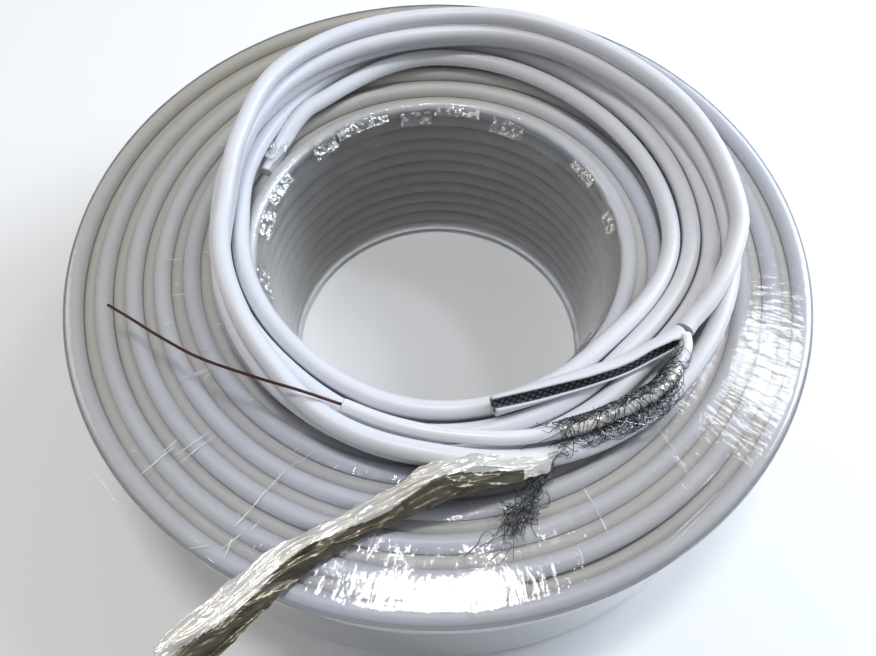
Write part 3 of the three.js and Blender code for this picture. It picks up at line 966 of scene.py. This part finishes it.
# %% Slit jacket finish
def imprint_finish():
    material, nodes, links, shader = new_finish("jacket_inside")
    place = add_node(nodes, "ShaderNodeUVMap", uv_map="inside_uv")
    checks = []
    for turn in (45, -45):
        lean = add_node(nodes, "ShaderNodeMapping", {"Rotation": (0, 0, math.radians(turn))})
        stripes = add_node(nodes, "ShaderNodeTexWave", {"Scale": 17.0, "Distortion": 0.6})
        connect(links, (place, "UV", lean, "Vector"), (lean, "Vector", stripes, "Vector"))
        checks.append(stripes)
    weave = add_node(nodes, "ShaderNodeMath", operation="MAXIMUM")
    links.new(checks[0].outputs["Fac"], weave.inputs[0])
    links.new(checks[1].outputs["Fac"], weave.inputs[1])
    lines = add_node(nodes, "ShaderNodeMapRange", {"From Min": 0.72, "From Max": 0.95})
    connect(links, (weave, 0, lines, "Value"))
    shade = add_node(
        nodes, "ShaderNodeMix", {"A": (0.24, 0.25, 0.27, 1), "B": (0.015, 0.015, 0.018, 1)}, data_type="RGBA"
    )
    relief = add_node(nodes, "ShaderNodeBump", {"Strength": 0.5, "Distance": 0.0002})
    connect(
        links,
        (lines, "Result", shade, "Factor"), (shade, "Result", shader, "Base Color"),
        (weave, 0, relief, "Height"), (relief, "Normal", shader, "Normal"),
    )
    shader.inputs["Roughness"].default_value = 0.4
    return material


jacket_inside = imprint_finish()
print("imprint finish ready")

# %% Slit jacket mesh
jacket_route = [
    (-31.2, 96.9, 10.6), (-36.0, 93.4, 10.9), (-44.3, 88.1, 10.5), (-52.8, 83.4, 10.8),
    (-60.0, 80.5, 10.6), (-67.5, 79.0, 10.4), (-77.0, 79.0, 10.4),
]
jacket_wall = 0.75 * MM
jacket_line, jacket_length = even_points(smooth_points(jacket_route), 70)
around = 22
outer_skin, inner_skin = [], []
for at, (point, along, across, over) in enumerate(frames_along(jacket_line)):
    share = at / (len(jacket_line) - 1)
    half_gap = math.radians(np.interp(share, [0, 0.08, 0.2, 0.4, 1], [2, 40, 54, 42, 34]))
    middle = math.radians(np.interp(share, [0, 0.3, 0.55, 0.8, 1], [25, 20, 28, 55, 82]))
    for step in range(around + 1):
        turn = middle + half_gap + (2 * math.pi - 2 * half_gap) * step / around
        way = way_round(across, over, turn)
        outer_skin.append(point + way * (cable_radius + 0.04 * MM))
        inner_skin.append(point + way * (cable_radius - jacket_wall))
faces, owners = slab_faces(len(jacket_line) - 1, around)
slit_jacket = mesh_piece("peeled_jacket", outer_skin + inner_skin, faces, jacket_finish)
slit_jacket.data.materials.append(jacket_inside)
inside_uv = slit_jacket.data.uv_layers.new(name="inside_uv")
for polygon in slit_jacket.data.polygons:
    polygon.material_index = 1 if owners[polygon.index][0] == "back" else 0
    for loop, vertex in zip(polygon.loop_indices, polygon.vertices):
        row, step = divmod(vertex % len(outer_skin), around + 1)
        inside_uv.data[loop].uv = (row / (len(jacket_line) - 1) * jacket_length * 10, step / around * 0.16)
face_outwards(slit_jacket)
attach(slit_jacket, "root")
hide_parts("slit_jacket")
print("slit jacket triangles:", triangles(slit_jacket), "length in mm:", round(jacket_length / MM, 1))

# %% [markdown]
# ## The bared core
#
# The core is foamed plastic with the wire in its middle. Its end was cut square, and the wire was
# pulled out of the same cut, so a thin brown rim of copper shows there.

# %% Dielectric and centre wire
dielectric_route = [
    (-31.3, 98.1, 11.3), (-34.0, 100.4, 11.2), (-39.0, 101.2, 10.7), (-45.0, 101.0, 10.6),
    (-51.3, 98.7, 10.7), (-59.0, 96.2, 11.0), (-63.0, 95.0, 11.2), (-70.0, 93.0, 11.6),
    (-77.0, 90.8, 11.9), (-85.0, 88.2, 12.1), (-93.0, 86.2, 12.0), (-102.0, 84.4, 11.9),
    (-111.5, 82.9, 11.3),
]
wire_route = [
    (-111.2, 82.9, 11.3), (-112.0, 82.9, 11.6), (-120.2, 87.2, 19.4), (-128.9, 91.6, 20.0),
    (-140.6, 99.8, 18.0), (-149.5, 106.9, 15.0), (-156.7, 114.6, 12.5), (-161.4, 121.6, 11.0),
]


def wire_finish():
    material, nodes, links, shader = new_finish("tarnished_copper")
    place = nodes.new("ShaderNodeTexCoord")
    spots = add_node(nodes, "ShaderNodeTexNoise", {"Scale": 400.0, "Detail": 4.0})
    connect(links, (place, "Object", spots, "Vector"))
    shade = add_node(
        nodes, "ShaderNodeMix", {"A": (0.035, 0.014, 0.012, 1), "B": (0.13, 0.045, 0.03, 1)}, data_type="RGBA"
    )
    rough = add_node(nodes, "ShaderNodeMapRange", {"To Min": 0.3, "To Max": 0.6})
    connect(
        links,
        (spots, "Fac", shade, "Factor"), (spots, "Fac", rough, "Value"),
        (shade, "Result", shader, "Base Color"), (rough, "Result", shader, "Roughness"),
    )
    shader.inputs["Metallic"].default_value = 0.7
    return material


copper_finish = wire_finish()
core_line, core_length = even_points(smooth_points(dielectric_route), 110)
bared_core = sweep_paths("bared_core", [core_line], core_diameter, 20, dielectric_finish)
wire_line, wire_length = even_points(smooth_points(wire_route), 70)
centre_wire = sweep_paths("centre_wire", [wire_line], centre_wire_diameter, 12, copper_finish)
rim_points = []
end_point, end_along, end_across, end_over = frames_along(core_line)[-1]
for step in range(28):
    turn = 2 * math.pi * step / 28
    rim_points.append(end_point + way_round(end_across, end_over, turn) * 1.9 * MM + end_along * 0.02 * MM)
core_rim = sweep_paths("core_rim", [rim_points], 0.5 * MM, 6, copper_finish, closed=True)
core_pieces = (
    (bared_core, "dielectric", "foamed_dielectric"),
    (centre_wire, "centre_conductor", "copper_wire"),
)
for piece, node, slot in core_pieces:
    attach(piece, "root")
    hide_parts(node)
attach(core_rim, "root")
print("core in mm:", round(core_length / MM, 1), "wire in mm:", round(wire_length / MM, 1))

# %% [markdown]
# ## The foil
#
# Two pieces of aluminium foil show. One is still wrapped round the core, and the other was torn
# off and hangs away over the edge of the coil, half rolled up. Thin foil keeps every crumple, so
# the shape itself is dented by noise, and the metal carries finer crinkles in its bump.

# %% Foil finishes
def foil_finish(name, bright, dark, roughness, crinkle, metal):
    material, nodes, links, shader = new_finish(name)
    place = nodes.new("ShaderNodeTexCoord")
    drawn_out = add_node(
        nodes,
        "ShaderNodeMapping",
        {"Rotation": (0, 0, math.radians(22)), "Scale": (4.5, 1, 1)},
        vector_type="TEXTURE",
    )
    warp = add_node(nodes, "ShaderNodeTexNoise", {"Scale": 300.0, "Detail": 4.0})
    connect(links, (place, "Object", drawn_out, "Vector"), (drawn_out, "Vector", warp, "Vector"))
    middle = add_node(nodes, "ShaderNodeMath", {1: 0.5}, operation="SUBTRACT")
    height = add_node(nodes, "ShaderNodeMath", operation="ABSOLUTE")
    connect(links, (warp, "Fac", middle, 0), (middle, 0, height, 0))
    relief = add_node(nodes, "ShaderNodeBump", {"Strength": crinkle, "Distance": 0.004})
    connect(links, (height, 0, relief, "Height"))
    shade = add_node(nodes, "ShaderNodeMix", {"A": (*dark, 1), "B": (*bright, 1)}, data_type="RGBA")
    clean = add_node(nodes, "ShaderNodeMapRange", {"From Min": 0.3, "From Max": 0.62})
    connect(
        links,
        (warp, "Fac", clean, "Value"), (clean, "Result", shade, "Factor"),
        (shade, "Result", shader, "Base Color"), (relief, "Normal", shader, "Normal"),
    )
    shader.inputs["Metallic"].default_value = metal
    shader.inputs["Roughness"].default_value = roughness
    return material


foil_bright = foil_finish("foil_bright", (0.97, 0.95, 0.89), (0.86, 0.84, 0.78), 0.25, 0.3, 0.62)
foil_dull = foil_finish("foil_dull", (0.26, 0.235, 0.18), (0.10, 0.092, 0.065), 0.3, 0.3, 0.9)
print("foil finishes ready")

# %% Foil left on the core
core_frames = frames_along(core_line)
wrap_from, wrap_to = 0.10, 0.47
wrap_rows = core_frames[int(wrap_from * len(core_frames)) : int(wrap_to * len(core_frames))]
wrap_line, _ = even_points([row[0] for row in wrap_rows], 150)
sections = []
for at, (point, along, across, over) in enumerate(frames_along(wrap_line)):
    section = []
    for step in range(36):
        turn = 2 * math.pi * step / 36
        way = way_round(across, over, turn)
        spot = (point + way * 2.7 * MM) * 420
        dent = noise.noise(spot) * 0.16 * MM + abs(noise.noise(spot * 2.3)) * 0.1 * MM
        section.append(point + way * (2.62 * MM + dent))
    sections.append(section)
places, faces = skin_sections(sections)
core_foil = mesh_piece("core_foil", places, faces, foil_bright)
face_outwards(core_foil)
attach(core_foil, "root")
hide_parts("foil_wrap")
print("core foil triangles:", triangles(core_foil))

# %% Torn foil ribbon
foil_tape_route = [
    (-70.0, 102.2, 12.2, 4), (-75.5, 101.2, 13.6, 8), (-80.5, 100.4, 14.8, 11),
    (-86.0, 100.8, 15.3, 13), (-91.0, 103.0, 13.4, 13), (-95.0, 106.3, 9.8, 11),
    (-98.5, 110.0, 6.6, 10), (-103.0, 116.0, 4.4, 10), (-107.0, 124.0, 4.0, 11),
    (-110.5, 133.4, 4.0, 13), (-113.2, 147.3, 4.2, 14), (-114.7, 157.3, 4.0, 15),
    (-116.1, 164.8, 3.0, 15), (-116.9, 171.5, 1.5, 14),
]
ribbon_steps, ribbon_wide = 300, 34
ribbon_line, ribbon_length = even_points(smooth_points(foil_tape_route), ribbon_steps)
row_reach = np.linspace(0, 1, len(foil_tape_route))
ribbon_frames = frames_along(ribbon_line)
top_side, low_side = [], []
for at, (point, along, across, over) in enumerate(ribbon_frames):
    share = at / (ribbon_steps - 1)
    width = float(np.interp(share, row_reach, [row[3] for row in foil_tape_route])) * MM
    for step in range(ribbon_wide + 1):
        s = step / ribbon_wide * 2 - 1
        arch = 2.6 * MM * (1 - abs(s) ** 1.6) - 2.4 * MM
        base = point + across * (s * width * 0.5) + over * arch
        run, over_way = share * ribbon_length, s * width
        spot = Vector((run * 52 + over_way * 90, over_way * 170 - run * 22, 4.0))
        ridge = abs(noise.noise(spot)) * 2
        fine = abs(noise.noise(Vector((run * 130 + over_way * 260, over_way * 520 - run * 60, 7.0)))) * 2
        dent = (0.4 - ridge) * 1.3 * MM - fine * 0.28 * MM
        ragged = 0.5 * MM * noise.noise(Vector((share * 60, s * 3, 9.0))) * (1 if abs(s) > 0.8 else 0)
        place = base + over * dent + across * (ragged * s)
        top_side.append(place)
        low_side.append(place - over * foil_thickness)
faces, owners = slab_faces(ribbon_steps - 1, ribbon_wide)
foil_ribbon = mesh_piece("torn_foil", top_side + low_side, faces, foil_bright)
foil_ribbon.data.materials.append(foil_dull)
for polygon in foil_ribbon.data.polygons:
    side, row, step = owners[polygon.index]
    rolled_under = row > 20 and step > ribbon_wide * 0.55 + 3 * math.sin(row * 0.06)
    polygon.material_index = 1 if side == "back" or side == "front" and rolled_under else 0
face_outwards(foil_ribbon)
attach(foil_ribbon, "root")
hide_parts("foil_tape")
print("foil ribbon triangles:", triangles(foil_ribbon), "length in mm:", round(ribbon_length / MM, 1))

# %% [markdown]
# ## The braid
#
# The braid was unpicked, so its fine wires wind round the core, loop out beside it, tangle below
# it and fray out over the turns. Each wire is a path of its own, made with a fixed seed, and the
# same sweep tree gives them their round section.

# %% Braid finish
def braid_finish():
    material, nodes, links, shader = new_finish("braid_wire")
    place = nodes.new("ShaderNodeTexCoord")
    tarnish = add_node(nodes, "ShaderNodeTexNoise", {"Scale": 240.0})
    connect(links, (place, "Object", tarnish, "Vector"))
    tone = add_node(nodes, "ShaderNodeAttribute", attribute_name="tone")
    both = add_node(nodes, "ShaderNodeMath", {1: 0.14}, operation="MULTIPLY_ADD", use_clamp=True)
    connect(links, (tarnish, "Fac", both, 0), (tone, "Fac", both, 2))
    shade = add_node(
        nodes, "ShaderNodeMix", {"A": (0.015, 0.017, 0.022, 1), "B": (0.85, 0.87, 0.92, 1)}, data_type="RGBA"
    )
    connect(links, (both, 0, shade, "Factor"), (shade, "Result", shader, "Base Color"))
    shader.inputs["Metallic"].default_value = 1.0
    shader.inputs["Roughness"].default_value = 0.2
    return material


braid_wire = braid_finish()
print("braid finish ready")

# %% Paths of the braid wires
wires, wire_tones = [], []
chance = random.Random(23)


def add_wire(points, tone=None):
    lifted = [Vector((p.x, p.y, max(p.z, film_top + 0.15 * MM))) for p in points]
    wires.append(lifted)
    wire_tones.append(chance.choice((0.0, 0.0, 0.0, 0.1, 0.7)) if tone is None else tone)


for count in range(52):
    start = chance.uniform(0.03, 0.44)
    reach = chance.uniform(0.04, 0.16)
    turns = chance.choice((-1, 1)) * chance.uniform(0.3, 2.2)
    phase = chance.uniform(0, 2 * math.pi)
    away = chance.uniform(2.85, 3.5)
    points = []
    for step in range(30):
        share = step / 29
        at = min(len(core_frames) - 1, (start + reach * share) * (len(core_frames) - 1))
        point, along, across, over = frame_between(core_frames, core_length, at)
        turn = phase + turns * 2 * math.pi * share
        flick = 0.8 * max(0, share - 0.85) / 0.15 if count % 3 == 0 else 0
        loose = away + 0.5 * noise.noise(Vector((count * 3.3, share * 5, 0))) + flick
        point = point + way_round(across, over, turn) * max(loose, 2.85) * MM
        points.append(point)
    add_wire(points)
for count in range(80):
    start = chance.uniform(0.01, 0.42)
    reach = chance.uniform(0.03, 0.12)
    phase = chance.uniform(1.75, 3.1)
    drift = chance.uniform(-0.5, 0.5)
    points = []
    for step in range(20):
        share = step / 19
        at = min(len(core_frames) - 1.01, (start + reach * share) * (len(core_frames) - 1))
        point, along, across, over = frame_between(core_frames, core_length, at)
        turn = phase + drift * share + 0.8 * noise.noise(Vector((count * 2.1, share * 4, 3)))
        away = 3.1 + 1.1 * abs(noise.noise(Vector((count * 5.3, share * 3, 2))))
        points.append(point + way_round(across, over, turn) * away * MM)
    add_wire(points, chance.choice((0.0, 0.0, 0.02, 0.3)))
print("wires round the core:", len(wires))

# %% Loops and tangle beside the core
braid_route = [
    (-38.5, 104.0, 10.6, 0.9), (-43.1, 105.0, 10.4, 1.8), (-46.5, 105.0, 10.0, 2.6),
    (-50.8, 103.6, 9.6, 2.8), (-55.9, 101.4, 9.4, 2.8), (-60.3, 100.2, 9.4, 2.8),
    (-64.5, 99.6, 9.8, 2.6), (-68.0, 99.9, 9.8, 2.4), (-70.0, 102.0, 7.0, 2.2),
    (-71.6, 105.2, 3.6, 2.0), (-74.3, 109.4, 1.8, 1.6), (-77.0, 113.8, 1.2, 1.2),
]
clump_rows = 90
clump_line, clump_length = even_points(smooth_points(braid_route), clump_rows)
clump_frames = frames_along(clump_line)
row_shares, row_widths = np.linspace(0, 1, len(braid_route)), [row[3] for row in braid_route]
clump_width = [float(np.interp(k / (clump_rows - 1), row_shares, row_widths)) * MM for k in range(clump_rows)]
for count in range(66):
    start = chance.uniform(0.0, 0.62)
    reach = chance.uniform(0.06, 0.24)
    turns = chance.choice((-1, 1)) * chance.uniform(0.5, 1.7)
    phase = chance.uniform(0, 2 * math.pi)
    grow = chance.uniform(0.35, 1.1)
    points = []
    for step in range(34):
        share = step / 33
        at = min(clump_rows - 1.1, (start + reach * share) * (clump_rows - 1))
        point, along, across, over = frame_between(clump_frames, clump_length, at)
        turn = phase + turns * 2 * math.pi * share
        size = clump_width[int(at)] * (grow + 0.35 * noise.noise(Vector((count * 1.9, share * 6, 7))))
        points.append(point + across * math.cos(turn) * size * 1.15 + over * math.sin(turn) * size)
    add_wire(points)
for count in range(26):
    at = chance.randint(6, 46)
    point, along, across, over = clump_frames[at]
    size = chance.uniform(2.0, 3.6) * MM
    lean = chance.uniform(-0.6, 0.9)
    points = []
    for step in range(30):
        turn = 2 * math.pi * chance.uniform(0.98, 1.0) * step / 29 * 0.9
        aside = way_round(across, over, lean) * (math.sin(turn) * size + 0.8 * MM)
        points.append(point + along * math.cos(turn) * size * 1.2 + aside)
    add_wire(points)
print("wires with the tangle:", len(wires))

# %% Frayed ends over the turns
fray_ends = [
    (8.5, -123.0), (16.0, -123.6), (18.7, -124.5), (22.5, -122.4), (25.1, -118.5), (29.9, -116.4),
    (15.6, -111.2), (19.6, -104.8), (23.7, -98.3), (12.5, -119.5), (27.5, -119.8), (20.5, -117.0),
    (31.0, -111.0), (17.0, -114.0),
]
cluster = Vector((25.2 * MM, -110.9 * MM, film_top + 0.8 * MM))
for count in range(26):
    end_x, end_y = fray_ends[count % len(fray_ends)]
    spread = 1.4 if count < len(fray_ends) else 5.0
    start = clump_line[chance.randint(56, 78)] + Vector([chance.uniform(-1.8, 1.8) * MM for _ in range(3)])
    stray = (chance.uniform(-3.6, 3.0), chance.uniform(-2.6, 3.6), chance.uniform(-0.4, 1.2))
    middle = cluster + Vector(stray) * MM
    stop_share = 1.0 if count < 13 else chance.uniform(0.2, 0.8)
    stray = Vector((chance.uniform(-spread, spread), chance.uniform(-spread, spread), 0))
    end = Vector((end_x * MM, end_y * MM, film_top + 0.4 * MM)) + stray * MM * 0.5
    end = middle.lerp(end, stop_share)
    points = []
    for step in range(36):
        share = step / 35
        point = start.lerp(middle, min(1, share * 2)) if share < 0.5 else middle.lerp(end, share * 2 - 1)
        seed = count * 2.7
        curl_x, curl_y = (noise.noise(Vector((seed, share * 7, layer))) for layer in (1, 5))
        curl = Vector((curl_x, curl_y, abs(noise.noise(Vector((seed, share * 5, 9)))) * 0.5))
        points.append(point + curl * 8.0 * MM * math.sin(math.pi * min(1, share * 1.15)))
    add_wire(points, chance.choice((0.0, 0.0, 0.2)))
print("wires in all:", len(wires))

# %% Sweep the braid
braid = sweep_paths("unpicked_braid", wires, braid_wire_diameter, 4, braid_wire, tones=wire_tones)
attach(braid, "root")
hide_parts("braid_clump")

# %% [markdown]
# ## Floor and light
#
# The coil stands on a plain pale floor under soft lamps, as in a product studio. A cool lamp on
# the right gives the strands their bright side. A small lamp overhead stands where the film's
# front edge mirrors it into the camera, and a smaller one does so for the right corner. A weak
# warm lamp on the left keeps the shaded sides from going dead.

# %% Floor
floor_corners = [(-3, -3, 0), (3, -3, 0), (3, 3, 0), (-3, 3, 0)]
floor = mesh_piece("studio_floor", floor_corners, [(0, 1, 2, 3)], smooth=False)
floor_material, nodes, links, shader = new_finish("pale_floor")
shader.inputs["Base Color"].default_value = (0.97, 0.97, 0.97, 1)
shader.inputs["Roughness"].default_value = 0.9
floor.data.materials.append(floor_material)
print("floor ready")


# %% Lamps
def soft_lamp(name, place, aim, size, watts, colour):
    lamp = bpy.data.lights.new(name, "AREA")
    lamp.shape = "RECTANGLE"
    lamp.size, lamp.size_y = size
    lamp.energy = watts
    lamp.color = colour
    holder = bpy.data.objects.new(name, lamp)
    holder.location = place
    holder.rotation_euler = (Vector(aim) - Vector(place)).to_track_quat("-Z", "Y").to_euler()
    scene.collection.objects.link(holder)
    return holder


soft_lamp("key_right", (1.05, 0.35, 0.75), (0, 0, 0.08), (0.7, 0.5), 13.5, (0.78, 0.87, 1.0))
soft_lamp("overhead", (-0.005, 0.057, 1.284), (0, 0, 0.08), (0.28, 0.09), 4.6, (1.0, 1.0, 1.0))
soft_lamp("corner_spark", (0.60, 0.38, 1.0), (0.1, -0.05, 0.08), (0.2, 0.12), 1.6, (0.9, 0.95, 1.0))
soft_lamp("fill_left", (-1.0, 0.3, 0.8), (0, 0, 0.08), (0.6, 0.5), 2.5, (1.0, 0.93, 0.82))
world = bpy.data.worlds.new("studio_air")
world.use_nodes = True
world.node_tree.nodes["Background"].inputs["Color"].default_value = (0.80, 0.83, 0.88, 1)
world.node_tree.nodes["Background"].inputs["Strength"].default_value = 0.34
scene.world = world
scene.view_settings.view_transform = "Standard"
